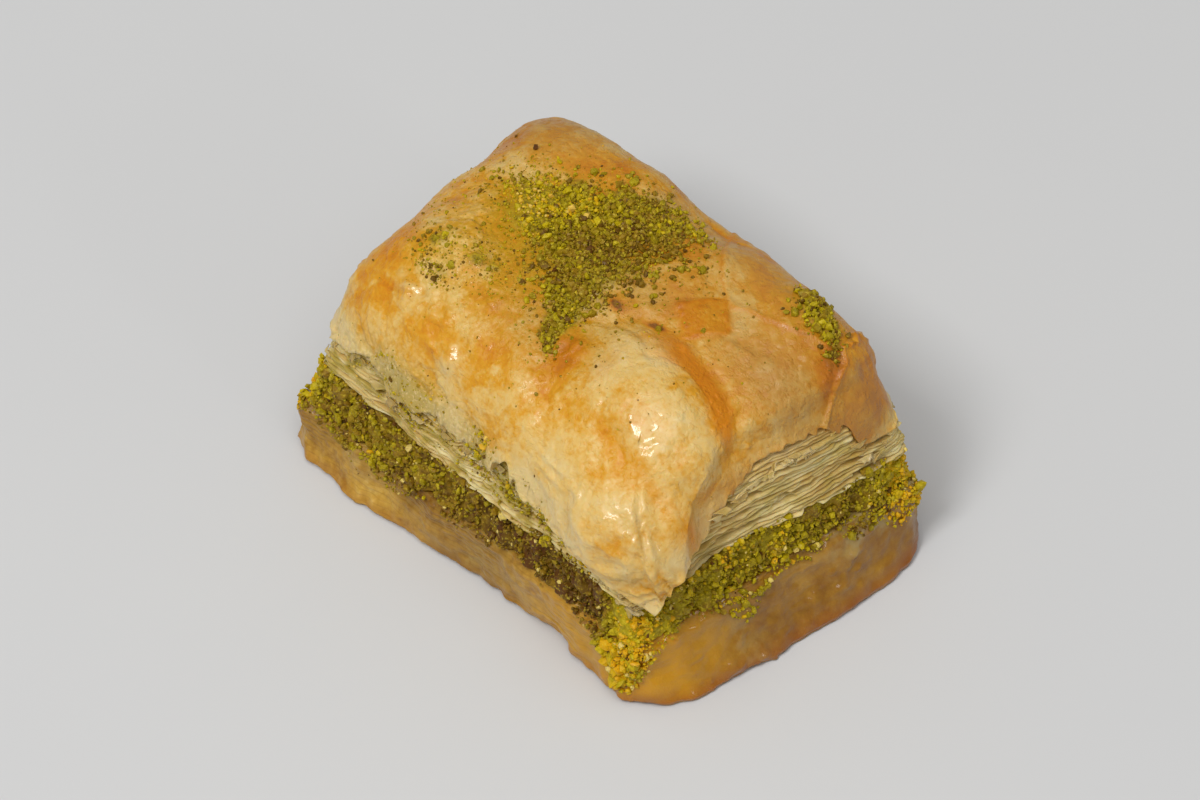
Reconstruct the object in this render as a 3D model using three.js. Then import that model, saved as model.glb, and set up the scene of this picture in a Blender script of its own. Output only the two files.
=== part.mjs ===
// A cut piece of pistachio baklava, modelled in millimetres with +Z up and the origin under its middle.
// Three layers lie on each other: a dense, syrup-soaked bottom stack of pastry leaves, a crumbly band
// of ground pistachio, and a puffed top stack whose glazed crust domes up and rolls over its edges.
// +X is along the piece. -Y is the long side whose shoulder sags lowest, and +X the cut end.
import * as THREE from "three";
import { mergeVertices } from "three/addons/utils/BufferGeometryUtils.js";

// Driving dimensions, in millimetres. Each layer's plan is a rounded rectangle from xMin to xMax.
const BASE = { xMin: -27, xMax: 24.4, halfWidth: 17.6, height: 8.2, corner: 2.2 };
const FILLING = { xMin: -26.2, xMax: 23.7, halfWidth: 17.1, thickness: 4.8, corner: 2.4 };
const TOP = { xMin: -24.4, xMax: 23.3, halfWidth: 16.6, corner: 1.5, cornerAtShoulder: 4.5 };
// The knife went across the sheet of pastry at a slant, so each end runs further out towards +Y.
const END_SLANT = { left: 0.9, right: 2.1 };
// The cut end's foot has slumped outwards, and so has the long side, in one long wave.
const FOOT = { endBulge: 2.4, sideBulge: 0.5, waveX: -17, waveLength: 48, waveHeight: 1.2 };
// How far the top stack's walls come in for each millimetre up, side by side.
const TAPER = { front: 0.15, back: 0.03, left: 0.08, right: 0.16 };
// Where the walls begin to round over into the crown, and how squarely they do it, side by side.
const SHOULDER = { front: 17.6, back: 19.4, left: 18.6, right: 17.8 };
const FULLNESS = { front: 3.6, back: 7.5, left: 6, right: 5 };
const CROWN = 27.9;
const DOME_POWER = 0.42;
// Where two layers meet, the seam waves a little, and it sags towards -Y, most at the -X end.
const SEAM = { gap: 0.3, wave: 0.35, sagLeft: 2.3, sagRight: 0.9 };
// The filling's edge is lumpy, and tucks in under the top stack.
const FILLING_EDGE = { lump: 0.55, tuck: 0.7 };
// Unevenness of the pastry's cut edges and of the crust.
const EDGE_WAVE = 0.35;
const CRUST_WAVE = 0.4;

// Blisters and hollows that baking left in the top crust: place, half sizes, turn in degrees and height.
const CRUST_FEATURES = [
  { x: 15.6, y: -7.4, along: 7.4, across: 5.2, turn: -8, height: 1.5 },
  { x: 20.0, y: -12.4, along: 4.2, across: 2.6, turn: -4, height: 0.9 },
  { x: -15.5, y: -8.0, along: 6.0, across: 4.5, turn: 20, height: 0.7 },
  { x: 12.0, y: 8.0, along: 8.0, across: 4.5, turn: -6, height: -0.6 },
  { x: 3.0, y: -11.0, along: 4.0, across: 3.5, turn: 0, height: -0.7 },
  { x: -0.5, y: 14.5, along: 8.0, across: 4.5, turn: 0, height: -1.3 },
];
// The crease that bounds the large blister on the inner side: a shallow valley along an arc, which
// fades out as y falls from one value to the other.
const CREASE = { x: 14.2, y: -9.5, radius: 9.6, width: 1.1, depth: 0.8, fadeY: [-4, -10] };

// Grid steps of each layer, along, across and up.
const BASE_STEPS = [24, 13, 4];
const FILLING_STEPS = [28, 19, 3];
const TOP_STEPS = [34, 25, 5];

const mix = THREE.MathUtils.lerp;
const smooth = THREE.MathUtils.smoothstep;

// A slow, repeatable unevenness between -1 and 1, from three crossed waves.
function wobble(x, y, z = 0) {
  return (
    (Math.sin(0.31 * x + 0.23 * y + 0.4 * z) +
      Math.sin(-0.19 * x + 0.37 * y - 0.7 * z + 1.3) +
      Math.sin(0.53 * x - 0.29 * y + 0.9 * z + 2.1)) /
    3
  );
}

// A quick, lumpy unevenness between -1 and 1, for ground nuts.
function lump(x, y, z) {
  return (
    (Math.sin(1.31 * x + 0.7 * z) * Math.sin(1.13 * y - 0.9 * z + 0.8) +
      Math.sin(2.17 * x - 1.9 * y + 1.3 * z)) /
    2
  );
}

// Takes a point of the square -1..1 to a rounded rectangle with slanted ends, in millimetres.
function outline(u, v, { xMin, xMax, halfWidth, corner }) {
  const halfLength = (xMax - xMin) / 2;
  const x = u * halfLength;
  const y = v * halfWidth;
  const pastX = Math.max(0, Math.abs(x) - (halfLength - corner));
  const pastY = Math.max(0, Math.abs(y) - (halfWidth - corner));
  const reach = Math.hypot(pastX, pastY);
  const pull = reach > 0 ? 1 - Math.max(pastX, pastY) / reach : 0;
  const slant = smooth(u, 0.2, 1) * END_SLANT.right - smooth(-u, 0.2, 1) * END_SLANT.left;
  return {
    x: (xMin + xMax) / 2 + x - Math.sign(x) * pastX * pull + slant * v,
    y: y - Math.sign(y) * pastY * pull,
  };
}

// The height at which two layers meet, which rises and falls a little over the piece.
function seamZ(x, y, z) {
  const sag = mix(SEAM.sagLeft, SEAM.sagRight, smooth(x, TOP.xMin, TOP.xMax));
  return z + SEAM.wave * wobble(x, y, z) - sag * smooth(-y, 0, TOP.halfWidth);
}

// How far a point in a turned ellipse stands up: 1 at its middle, falling smoothly to 0 at its rim.
function swell(x, y, { x: cx, y: cy, along, across, turn }) {
  const angle = THREE.MathUtils.degToRad(turn);
  const dx = x - cx;
  const dy = y - cy;
  const a = (dx * Math.cos(angle) + dy * Math.sin(angle)) / along;
  const b = (dy * Math.cos(angle) - dx * Math.sin(angle)) / across;
  return Math.max(0, 1 - (a * a + b * b)) ** 2 * (1 + (a * a + b * b));
}

// A value of the four sides, weighed by how near the point is to each of them.
function bySide(u, v, { front, back, left, right }) {
  const along = Math.abs(u) ** 3;
  const across = Math.abs(v) ** 3;
  const ends = mix(left, right, smooth(u, -1, 1));
  const sides = mix(front, back, smooth(v, -1, 1));
  return (ends * along + sides * across + 0.01 * (ends + sides)) / (along + across + 0.02);
}

// The top crust's height over the block: shoulders, a full dome, and its blisters and crease.
function crustZ(x, y, u, v) {
  const shoulder = bySide(u, v, SHOULDER);
  const along = 1 - Math.abs(u) ** (u < 0 ? FULLNESS.left : FULLNESS.right);
  const across = 1 - Math.abs(v) ** (v < 0 ? FULLNESS.front : FULLNESS.back);
  const dome = (along * across) ** DOME_POWER;
  const inside = smooth(1 - Math.max(Math.abs(u), Math.abs(v)), 0, 0.12);
  const swells = CRUST_FEATURES.reduce((sum, f) => sum + f.height * swell(x, y, f), 0);
  const fromArc = Math.hypot(x - CREASE.x, y - CREASE.y) - CREASE.radius;
  const [full, gone] = CREASE.fadeY;
  const valley = CREASE.depth * Math.exp(-((fromArc / CREASE.width) ** 2)) * smooth(y, gone, full);
  return mix(shoulder, CROWN, dome) + inside * (swells - valley + CRUST_WAVE * wobble(x, y, 1));
}

// A closed block: a box's grid with each of its points moved to shape(u, v, w), all from -1 to 1.
function shapedBlock([along, across, up], shape) {
  const box = new THREE.BoxGeometry(2, 2, 2, along, across, up);
  box.deleteAttribute("normal");
  box.deleteAttribute("uv");
  const geometry = mergeVertices(box, 1e-4);
  const position = geometry.getAttribute("position");
  for (let i = 0; i < position.count; i++) {
    const { x, y, z } = shape(position.getX(i), position.getY(i), position.getZ(i));
    position.setXYZ(i, x, y, z);
  }
  geometry.computeVertexNormals();
  return geometry;
}

// The grid is drawn closer together towards the block's edges, where its surface turns over.
const crowd = (t) => mix(t, Math.sin((t * Math.PI) / 2), 0.8);

// Bottom stack: flat underneath, with a foot that has slumped outwards at the cut end and the sides.
function basePoint(u, v, w) {
  const { x, y } = outline(u, v, BASE);
  const rise = (w + 1) / 2;
  const slump = (1 - rise) ** 1.5;
  const edgeShare = Math.max(Math.abs(u), Math.abs(v)) ** 6;
  const uneven = EDGE_WAVE * edgeShare * wobble(x * 2, y * 2, 3 * rise);
  const wave = FOOT.waveHeight * Math.cos((2 * Math.PI * (x - FOOT.waveX)) / FOOT.waveLength);
  const side = slump * (FOOT.sideBulge + (v < 0 ? wave : 0)) * Math.abs(v) ** 3;
  const end = slump * FOOT.endBulge * (1 - v * v) * smooth(u, 0.2, 1);
  return {
    x: x + end + Math.sign(u) * uneven,
    y: y + Math.sign(v) * (side + uneven),
    z: rise * seamZ(x, y, BASE.height),
  };
}

// Ground pistachio: a thin band between the stacks, lumpy wherever it shows.
function fillingPoint(u, v, w) {
  const { x, y } = outline(u, v, FILLING);
  const rise = (w + 1) / 2;
  const edgeShare = Math.max(Math.abs(u), Math.abs(v)) ** 10;
  const out = edgeShare * (FILLING_EDGE.lump * lump(x, y, 2 * rise) - FILLING_EDGE.tuck * rise);
  const low = seamZ(x, y, BASE.height) + SEAM.gap;
  const high = seamZ(x, y, BASE.height + FILLING.thickness);
  return {
    x: x + Math.sign(u) * out * Math.abs(u),
    y: y + Math.sign(v) * out * Math.abs(v),
    z: mix(low, high, rise),
  };
}

// Top stack: walls that come in and grow rounder at the corners as they rise into the domed crust.
function topPoint(u0, v0, w) {
  const u = crowd(u0);
  const v = crowd(v0);
  const rise = (w + 1) / 2;
  const corner = mix(TOP.corner, TOP.cornerAtShoulder, rise * rise);
  const { x, y } = outline(u, v, { ...TOP, corner });
  const floor = seamZ(x, y, BASE.height + FILLING.thickness) + SEAM.gap;
  const z = mix(floor, crustZ(x, y, u, v), rise);
  const edgeShare = Math.max(Math.abs(u), Math.abs(v)) ** 8;
  const uneven = EDGE_WAVE * edgeShare * wobble(1.7 * x, 1.7 * y, 2 * rise);
  return {
    x: x - u * (z - floor) * (u < 0 ? TAPER.left : TAPER.right) + Math.sign(u) * uneven,
    y: y - v * (z - floor) * (v < 0 ? TAPER.front : TAPER.back) + Math.sign(v) * uneven,
    z,
  };
}

const pastryBottom = new THREE.MeshStandardMaterial({ color: 0xa87a3e, roughness: 0.45, metalness: 0 });
const groundPistachio = new THREE.MeshStandardMaterial({ color: 0x7d6a1e, roughness: 0.8, metalness: 0 });
const pastryTop = new THREE.MeshStandardMaterial({ color: 0xd9a552, roughness: 0.3, metalness: 0 });

function layer(name, steps, shape, material) {
  const mesh = new THREE.Mesh(shapedBlock(steps, shape), material);
  mesh.name = name;
  return mesh;
}

const baklava = new THREE.Group();
baklava.add(
  layer("bottom_pastry", BASE_STEPS, basePoint, pastryBottom),
  layer("pistachio_filling", FILLING_STEPS, fillingPoint, groundPistachio),
  layer("top_pastry", TOP_STEPS, topPoint, pastryTop),
);

// The origin goes to the middle of the box under the piece.
const middle = new THREE.Box3().setFromObject(baklava).getCenter(new THREE.Vector3());
for (const mesh of baklava.children) mesh.position.set(-middle.x, -middle.y, 0);

export default baklava;
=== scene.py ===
"""A cut piece of pistachio baklava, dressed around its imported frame: the soaked bottom stack of pastry
leaves, the band of ground nuts, the puffed top stack with its glazed crust, and what was strewn over it."""

import math

import bpy
import numpy as np
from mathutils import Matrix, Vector


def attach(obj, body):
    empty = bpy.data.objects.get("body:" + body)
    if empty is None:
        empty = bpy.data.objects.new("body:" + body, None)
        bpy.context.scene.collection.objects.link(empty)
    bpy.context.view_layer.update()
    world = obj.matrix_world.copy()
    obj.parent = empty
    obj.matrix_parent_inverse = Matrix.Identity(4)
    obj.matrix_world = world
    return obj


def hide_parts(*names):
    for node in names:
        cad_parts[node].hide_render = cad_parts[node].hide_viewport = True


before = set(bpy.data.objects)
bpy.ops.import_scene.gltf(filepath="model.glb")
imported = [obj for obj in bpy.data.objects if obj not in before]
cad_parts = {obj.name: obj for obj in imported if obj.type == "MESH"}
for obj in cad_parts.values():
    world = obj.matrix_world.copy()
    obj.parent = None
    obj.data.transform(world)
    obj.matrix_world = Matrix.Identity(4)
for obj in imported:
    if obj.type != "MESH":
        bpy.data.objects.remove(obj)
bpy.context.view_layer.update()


# -------------------------------------------------------------------------------- Bottom pastry
# A dozen pastry leaves brushed with butter lie pressed together under the nuts. Baked and soaked in
# syrup they hold as one dense, translucent slab, tan on the long side and amber at the wet cut end.
# The knife left its edges ragged, and its foot has slumped outwards.

MM = 0.001
MIDDLE = np.array([0.319, 0.631, 0.0])  # the block's own origin in the frame, millimetres

# Plans of the three layers: rounded rectangles with slanted ends, in the block's own millimetres.
BASE = dict(x_min=-27.0, x_max=24.4, half_width=17.6, corner=2.2)
FILLING = dict(x_min=-26.2, x_max=23.7, half_width=17.1, corner=2.4)
TOP = dict(x_min=-24.4, x_max=23.3, half_width=16.6)
END_SLANT_LEFT, END_SLANT_RIGHT = 0.9, 2.1
BASE_HEIGHT, FILLING_TOP, GAP = 8.2, 13.0, 0.3


def mix(a, b, t):
    """From a to b in a straight line as t goes from 0 to 1."""
    return a + (b - a) * t


def smooth(x, low, high):
    """0 below low, 1 above high, and an eased cubic step between."""
    t = np.clip((x - low) / (high - low), 0, 1)
    return t * t * (3 - 2 * t)


def bell(x, width):
    """1 at nothing, fading like a bell to a third at that width and to almost nothing at twice it."""
    return np.exp(-((x / width) ** 2))


def wobble(x, y, z=0.0):
    """A slow unevenness between -1 and 1: the mean of three crossed sine waves."""
    return (np.sin(0.31 * x + 0.23 * y + 0.4 * z) + np.sin(-0.19 * x + 0.37 * y - 0.7 * z + 1.3)
            + np.sin(0.53 * x - 0.29 * y + 0.9 * z + 2.1)) / 3


LATTICE = 32  # random values along each side of a noise's lattice, before it repeats


def noise(points, size, seed):
    """Smooth random unevenness between -1 and 1: random values at the corners of a cubic lattice of
    that size in millimetres, blended by eased distance from the eight corners round each point."""
    lattice = np.random.default_rng(seed).uniform(-1, 1, (LATTICE, LATTICE, LATTICE))
    cell = np.floor(points / size).astype(int)
    ease = smooth(points / size - cell, 0, 1)
    total = 0
    for corner in np.ndindex(2, 2, 2):
        weight = np.prod(np.where(np.array(corner) == 1, ease, 1 - ease), axis=-1)
        total = total + weight * lattice[tuple(np.moveaxis((cell + corner) % LATTICE, -1, 0))]
    return total


def on_sheet(a, b):
    """The places (a, b) on a level sheet, as points for a noise."""
    return np.stack(np.broadcast_arrays(a, b, 0.0), axis=-1)


def noises(points, *terms):
    """A sum of noises, each given by its strength, its size and its seed."""
    return sum(strength * noise(points, size, seed) for strength, size, seed in terms)


def rough(points, size, seed, octaves=3):
    """Noise of that size plus finer and weaker noises, each half as large as the one before."""
    return noises(points, *((0.5**i, size / 2**i, seed + i) for i in range(octaves)))


def outline(u, v, x_min, x_max, half_width, corner):
    """Takes a point of the square -1..1 to the layer's plan: past each corner's centre the square's
    rings are pulled in, almost to arcs, and each end runs further out towards +Y by its slant."""
    half_length = (x_max - x_min) / 2
    x, y = u * half_length, v * half_width
    past_x = np.maximum(0, np.abs(x) - (half_length - corner))
    past_y = np.maximum(0, np.abs(y) - (half_width - corner))
    reach = np.maximum(np.hypot(past_x, past_y), 1e-9)
    pull = np.where(reach > 1e-9, 1 - (past_x**6 + past_y**6) ** (1 / 6) / reach, 0)
    slant = smooth(u, 0.2, 1) * END_SLANT_RIGHT - smooth(-u, 0.2, 1) * END_SLANT_LEFT
    across = (x_min + x_max) / 2 + x - np.sign(x) * past_x * pull + slant * v
    return across, y - np.sign(y) * past_y * pull


def seam_z(x, y, z):
    """Height of a seam that lies at z: it waves, and it sags towards -Y, most at the -X end."""
    sag = mix(2.3, 0.9, smooth(x, TOP["x_min"], TOP["x_max"]))
    return z + 0.35 * wobble(x, y, z) - sag * smooth(-y, 0, TOP["half_width"])


LENGTH, WIDTH = BASE["x_max"] - BASE["x_min"], 2 * BASE["half_width"]
CORNERS = np.cumsum([0, LENGTH, WIDTH, LENGTH, WIDTH])


def on_edge(around):
    """The place (u, v) on the edge of the square -1..1 that lies so many millimetres round the piece,
    anticlockwise from its front left corner."""
    return np.interp(around, CORNERS, [-1, 1, 1, -1, -1]), np.interp(around, CORNERS, [-1, -1, 1, 1, -1])


def rim(count):
    """Evenly spaced places (u, v) round the piece, and how far round each lies."""
    around = np.arange(count) / count * CORNERS[-1]
    return *on_edge(around), around


def unit(vectors):
    """The directions of some vectors: each divided by its own length."""
    return vectors / np.maximum(np.linalg.norm(vectors, axis=-1, keepdims=True), 1e-9)


def right_of(along):
    """The level direction to the right of each vector, a quarter turn clockwise from above."""
    return unit(np.stack([along[..., 1], -along[..., 0], 0 * along[..., 0]], axis=-1))


def outwards(ring):
    """Level unit vectors pointing out of a closed, anticlockwise ring of points."""
    return right_of(np.roll(ring, -1, axis=-2) - np.roll(ring, 1, axis=-2))


def base_wall(u, v, rise):
    """The bottom stack's cut side, from the tray at rise 0 to the nuts at 1. Below, it slumps out in
    one long wave along the front and in a bulge at the cut end."""
    x, y = outline(u, v, **BASE)
    slump = (1 - rise) ** 1.5
    wave = 1.2 * np.cos(2 * np.pi * (x + 17) / 48)
    side = slump * (0.5 + np.where(v < 0, wave, 0)) * np.abs(v) ** 3
    end = slump * 3.6 * (1 - v**4) * smooth(u, 0.2, 1)
    uneven = 0.35 * np.maximum(np.abs(u), np.abs(v)) ** 6 * wobble(2 * x, 2 * y, 3 * rise)
    z = rise * seam_z(x, y, BASE_HEIGHT)
    return np.stack([x + end + u * uneven, y + np.sign(v) * side + v * uneven, z], axis=-1)


def ring_quads(rings, columns, first=0):
    """Faces between rings of points, each ring anticlockwise from above and the next one higher (or,
    on a level stretch, further out below and further in above), so that they face outwards."""
    here = first + np.arange(rings - 1)[:, None] * columns + np.arange(columns)
    beside = np.roll(here, -1, axis=1)
    return np.stack([here, beside, beside + columns, here + columns], axis=-1).reshape(-1, 4)


def closed_rings(rings):
    """A closed skin from rings of points, the lowest first, shut by a point in the middle of the
    first ring and one in the middle of the last."""
    count, columns, _ = rings.shape
    points = np.concatenate([rings.reshape(-1, 3), [rings[0].mean(axis=0), rings[-1].mean(axis=0)]])
    here = np.arange(columns)
    beside = np.roll(here, -1)
    low, last = np.full(columns, count * columns), (count - 1) * columns
    below = np.stack([low, beside, here], axis=-1)
    above = np.stack([low + 1, last + here, last + beside], axis=-1)
    return points, ring_quads(count, columns), np.concatenate([below, above])


def make_piece(name, points, quads, triangles, finish, slot, node=None, flat_faces=False):
    """Puts a skin, given in the block's millimetres, into a mesh object at the origin, in metres."""
    mesh = bpy.data.meshes.new(name)
    corners = np.concatenate([np.ravel(quads), np.ravel(triangles)]).astype(np.int32)
    sizes = np.repeat([4, 3], [len(quads), len(triangles)])
    mesh.vertices.add(len(points))
    mesh.vertices.foreach_set("co", ((points + MIDDLE) * MM).astype(np.float32).ravel())
    mesh.loops.add(len(corners))
    mesh.loops.foreach_set("vertex_index", corners)
    mesh.polygons.add(len(sizes))
    mesh.polygons.foreach_set("loop_start", np.cumsum(np.append(0, sizes[:-1])).astype(np.int32))
    mesh.polygons.foreach_set("use_smooth", np.full(len(sizes), not flat_faces))
    mesh.update(calc_edges=True)
    mesh.materials.append(finish.material)
    piece = bpy.data.objects.new(name, mesh)
    bpy.context.collection.objects.link(piece)
    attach(piece, "root")
    if node:
        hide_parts(node)
    return piece


def paint(piece, arrange=np.ravel, **painted):
    """Stores numbers by name for a piece's material to read, arranged as one for each of its points."""
    for name, values in painted.items():
        layer = piece.data.attributes.new(name, "FLOAT", "POINT")
        values = np.broadcast_to(arrange(values), len(piece.data.vertices))
        layer.data.foreach_set("value", values.astype(np.float32))


def light_of(tone):
    """A screen colour, three numbers up to 255, as the linear light that shaders take."""
    c = np.array(tone) / 255
    return (*np.where(c <= 0.04045, c / 12.92, ((c + 0.055) / 1.055) ** 2.4), 1.0)


class Field:
    """An output socket of a material's nodes. Sums, differences and products of it add Math nodes."""

    def __init__(self, finish, socket):
        self.finish, self.socket = finish, socket

    def _math(operation, turned=False):
        """An operator that adds one sort of Math node, its two values swapped if turned."""
        def combine(self, other):
            pair = (other, self) if turned else (self, other)
            return self.finish.node("ShaderNodeMath", {"operation": operation}, dict(enumerate(pair)))
        return combine

    __add__ = __radd__ = _math("ADD")
    __mul__ = __rmul__ = _math("MULTIPLY")
    __sub__, __rsub__ = _math("SUBTRACT"), _math("SUBTRACT", turned=True)


class Finish:
    """One finish: a material whose shader is a Principled BSDF, and the ways to feed it. Colours are
    given as screen colours or as fields."""

    def __init__(self, name, **constants):
        self.material = bpy.data.materials.new(name)
        self.material.use_nodes = True
        self.tree = self.material.node_tree
        self.shader = self.tree.nodes["Principled BSDF"]
        for socket, value in constants.items():
            self.shader.inputs[socket.replace("_", " ")].default_value = value
        self.place = self.node("ShaderNodeTexCoord", {}, {}, "Object")

    def node(self, kind, settings, sockets, output=0):
        """Adds a node: its settings first, then a value or a link for each of its sockets."""
        node = self.tree.nodes.new(kind)
        stops = settings.pop("stops", ())
        for name, value in settings.items():
            setattr(node, name, value)
        for number, (position, *tone) in enumerate(stops):
            elements = node.color_ramp.elements
            stop = elements[number] if number < 2 else elements.new(position)
            stop.position, stop.color = position, light_of(tone)
        for key, value in sockets.items():
            self.feed(node.inputs[key], value)
        return Field(self, node.outputs[output])

    def feed(self, socket, value):
        """Links a field to a socket, or sets the socket's own value."""
        if isinstance(value, Field):
            self.tree.links.new(value.socket, socket)
        else:
            socket.default_value = value

    def shade(self, **sockets):
        """Feeds the shader's sockets."""
        for name, value in sockets.items():
            self.feed(self.shader.inputs[name.replace("_", " ")], value)

    def painted(self, *names):
        """The numbers stored under those names at each point."""
        return [self.node("ShaderNodeAttribute", {"attribute_name": name}, {}, "Fac") for name in names]

    def grain(self, size, detail=3.0, roughness=0.5):
        """Noise between 0 and 1 whose blots are that many millimetres across."""
        values = {"Vector": self.place, "Scale": 1 / (size * MM), "Detail": detail, "Roughness": roughness}
        return self.node("ShaderNodeTexNoise", {}, values, "Fac")

    def between(self, value, low, high, to_low=0.0, to_high=1.0):
        """An eased step: to_low where the value is under low, to_high where it is over high."""
        sockets = {"Value": value, "From Min": low, "From Max": high, "To Min": to_low, "To Max": to_high}
        return self.node("ShaderNodeMapRange", {"interpolation_type": "SMOOTHSTEP"}, sockets)

    def coats(self, tone, *coats):
        """Colours laid over a first one, each with its share and perhaps a way of blending."""
        for over, share, *way in coats:
            pair = [part if isinstance(part, Field) else light_of(part) for part in (tone, over)]
            settings = {"data_type": "RGBA", "blend_type": way[0] if way else "MIX", "clamp_factor": True}
            tone = self.node("ShaderNodeMix", settings, {0: share, 6: pair[0], 7: pair[1]}, 2)
        return tone

    def ramp(self, value, *stops):
        """A colour read off a row of stops by a value: each its position and its screen colour."""
        return self.node("ShaderNodeValToRGB", {"stops": stops}, {"Fac": value})

    def bumps(self, height, millimetres):
        """A surface normal from a height between 0 and 1 that stands for that many millimetres."""
        sockets = {"Height": height, "Strength": 1.0, "Distance": millimetres * MM}
        return self.node("ShaderNodeBump", {}, sockets)


BASE_LEAVES, BASE_COLUMNS, BASE_ROWS = 12, 720, 76

u, v, around = rim(BASE_COLUMNS)
rise = np.linspace(0, 1, BASE_ROWS)[:, None]
wall = base_wall(u[None, :], v[None, :], rise)
x, y = wall[..., 0], wall[..., 1]
wetness = 0.4 * smooth(x, 8, 20) + smooth(x, 18.5, 23.5) + 0.5 * smooth(-x, 22, 27)
wetness = np.clip(wetness, 0, 1)
dry = 1 - 0.7 * wetness
# The soaked leaves are just told apart as faint ridges; lumps and dents hide most of them.
wavy_rise = rise + noises(wall, (0.05, 5.0, 1), (0.02, 1.6, 2))
leaf = np.floor(wavy_rise * BASE_LEAVES)
across_leaf = 1 - (2 * (wavy_rise * BASE_LEAVES - leaf) - 1) ** 2
leaf_place = on_sheet(around, leaf * 9.7)
layered = dry * smooth(noise(wall, 6.0, 9), -0.3, 0.4)
relief = noises(leaf_place, (0.16, 3.5, 3), (0.06, 0.9, 13)) * layered
relief = relief + 0.1 * (1 - (1 - across_leaf) ** 2) * layered
relief = relief + 0.3 * rough(wall, 4.2, 5) * (0.45 + 0.55 * dry)
relief = relief + 0.2 * noise(wall, 1.3, 6) + 0.1 * noise(wall, 0.6, 10) * dry
ragged_foot = 0.6 * np.maximum(0, noise(wall * (1, 1, 0.3), 1.9, 7)) * smooth(-rise, -0.4, 0) * dry
beads = 0.4 * np.maximum(0, noise(wall, 0.9, 11) - 0.2) * smooth(noise(wall, 5.0, 12), -0.2, 0.3) * wetness
rounded = -0.55 * smooth(rise, 0.84, 1) ** 2 - 0.35 * smooth(-rise, -0.06, 0)
wall = wall + outwards(wall) * (relief + ragged_foot + beads + rounded - 0.12)[..., None]
wall[..., 2] += 0.25 * noise(wall, 3.0, 8) * rise * smooth(rise, 0.5, 1)
centre = wall.mean(axis=(0, 1)) * (1, 1, 0)
under, over = ([(row - centre) * (s, s, 1) + centre for s in (0.97, 0.9)] for row in (wall[0], wall[-1]))
rings = np.stack([*reversed(under), *wall, *over])

soaked = Finish("soaked pastry leaves", Roughness=0.3, Subsurface_Weight=0.35, Subsurface_Scale=0.0016,
                Subsurface_Radius=(1.0, 0.55, 0.2), IOR=1.45, Specular_IOR_Level=0.4, Coat_Roughness=0.1)
wet, layer, yolk, risen, soiled, milky = soaked.painted("wet", "layer", "yolk", "rise", "soiled", "milky")
blotch, fine = soaked.grain(5.0, detail=4.0), soaked.grain(0.9, detail=4.0, roughness=0.6)
tan = soaked.ramp(blotch * 0.5 + fine * 0.5, (0.34, 158, 112, 30), (0.46, 192, 148, 54),
                  (0.56, 206, 163, 68), (0.66, 223, 187, 100))
amber = soaked.ramp(blotch * 0.6 + fine * 0.4, (0.36, 122, 76, 6), (0.5, 148, 102, 20), (0.64, 172, 128, 42))
shadowy = (1 - soaked.between(layer, 0.0, 0.5)) * (1 - wet) * 0.35
baked_foot = soaked.between(risen + blotch * 0.2, 0.4, 0.1) * (0.3 + wet * 0.45)
# Milky patches broken up by a grain: partly the syrup's own cloudy tone, partly painted sheen.
clouded_and_sheen = milky * soaked.between(soaked.grain(2.0), 0.4, 0.6)
base_tone = soaked.coats(tan, (amber, wet), ((200, 142, 4), yolk), ((128, 84, 30), shadowy),
                         ((148, 78, 14), baked_foot), ((184, 170, 130), soiled * (0.5 + blotch), "MULTIPLY"),
                         ((186, 160, 96), clouded_and_sheen))
soaked.shade(Base_Color=base_tone, Roughness=0.2 + fine * 0.3, Coat_Weight=0.15 + wet * 0.3,
             Normal=soaked.bumps(fine * 0.7 + soaked.grain(0.25, detail=2.0) * 0.3, 0.12))

bottom_pastry = make_piece("bottom_pastry_leaves", *closed_rings(rings), soaked, "soaked_pastry",
                           "bottom_pastry")


def over_rings(values):
    """Spreads values of the wall's rows over the rings under and over it and the two end points."""
    values = np.clip(values, 0, 1) + 0 * x
    rows = [values[0]] * len(under) + list(values) + [values[-1]] * len(over)
    return np.append(np.concatenate(rows), [values[0].mean(), values[-1].mean()])


x, y = wall[..., 0], wall[..., 1]
corner_syrup = smooth(-np.hypot(x - 24, y + 18) - 2 * noise(wall, 3.0, 9), -12, -3) * wetness
spilt = smooth(-y, 0, 9) * bell(x + 1 + 3 * noise(wall, 4.0, 14), 7)
spilt = spilt + 0.8 * smooth(rise + 0.3 * noise(wall, 2.5, 15), 0.3, 0.75) * smooth(-x, 2, 9)
# Paler, milky patches on the wet cut end, high up towards the back and in a band near y = -6: partly the
# syrup's own cloudy tone, partly painted sheen and glints.
pale = wetness * smooth(y, 2, 10) * smooth(rise, 0.35, 0.8) + 0.35 * wetness * bell(y + 6, 2)
paint(bottom_pastry, over_rings, wet=wetness + 0.08, yolk=corner_syrup + 0.5 * smooth(x, 5, 12) * dry,
      milky=0.8 * pale, soiled=0.7 * spilt * (1 - wetness), layer=across_leaf, rise=rise)


# -------------------------------------------------------------------------------- Pistachio filling
# A band of coarsely ground pistachios, moist with syrup. It shows on every side as loose crumbs, which
# the knife dragged down over the bottom stack and smeared up over the leaves above.


def lump(x, y, z):
    """A quick, lumpy unevenness between -1 and 1, from crossed sines."""
    crossed = np.sin(1.31 * x + 0.7 * z) * np.sin(1.13 * y - 0.9 * z + 0.8)
    return (crossed + np.sin(2.17 * x - 1.9 * y + 1.3 * z)) / 2


def filling_wall(u, v, rise):
    """The nut band's side, from the bottom stack at rise 0 to the top stack at 1, where it tucks in."""
    x, y = outline(u, v, **FILLING)
    share = np.maximum(np.abs(u), np.abs(v)) ** 10
    out = share * (0.55 * lump(x, y, 2 * rise) - 0.7 * rise)
    z = mix(seam_z(x, y, BASE_HEIGHT) + GAP, seam_z(x, y, FILLING_TOP), rise)
    return np.stack([x + np.sign(u) * out * np.abs(u), y + np.sign(v) * out * np.abs(v), z], axis=-1)


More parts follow.
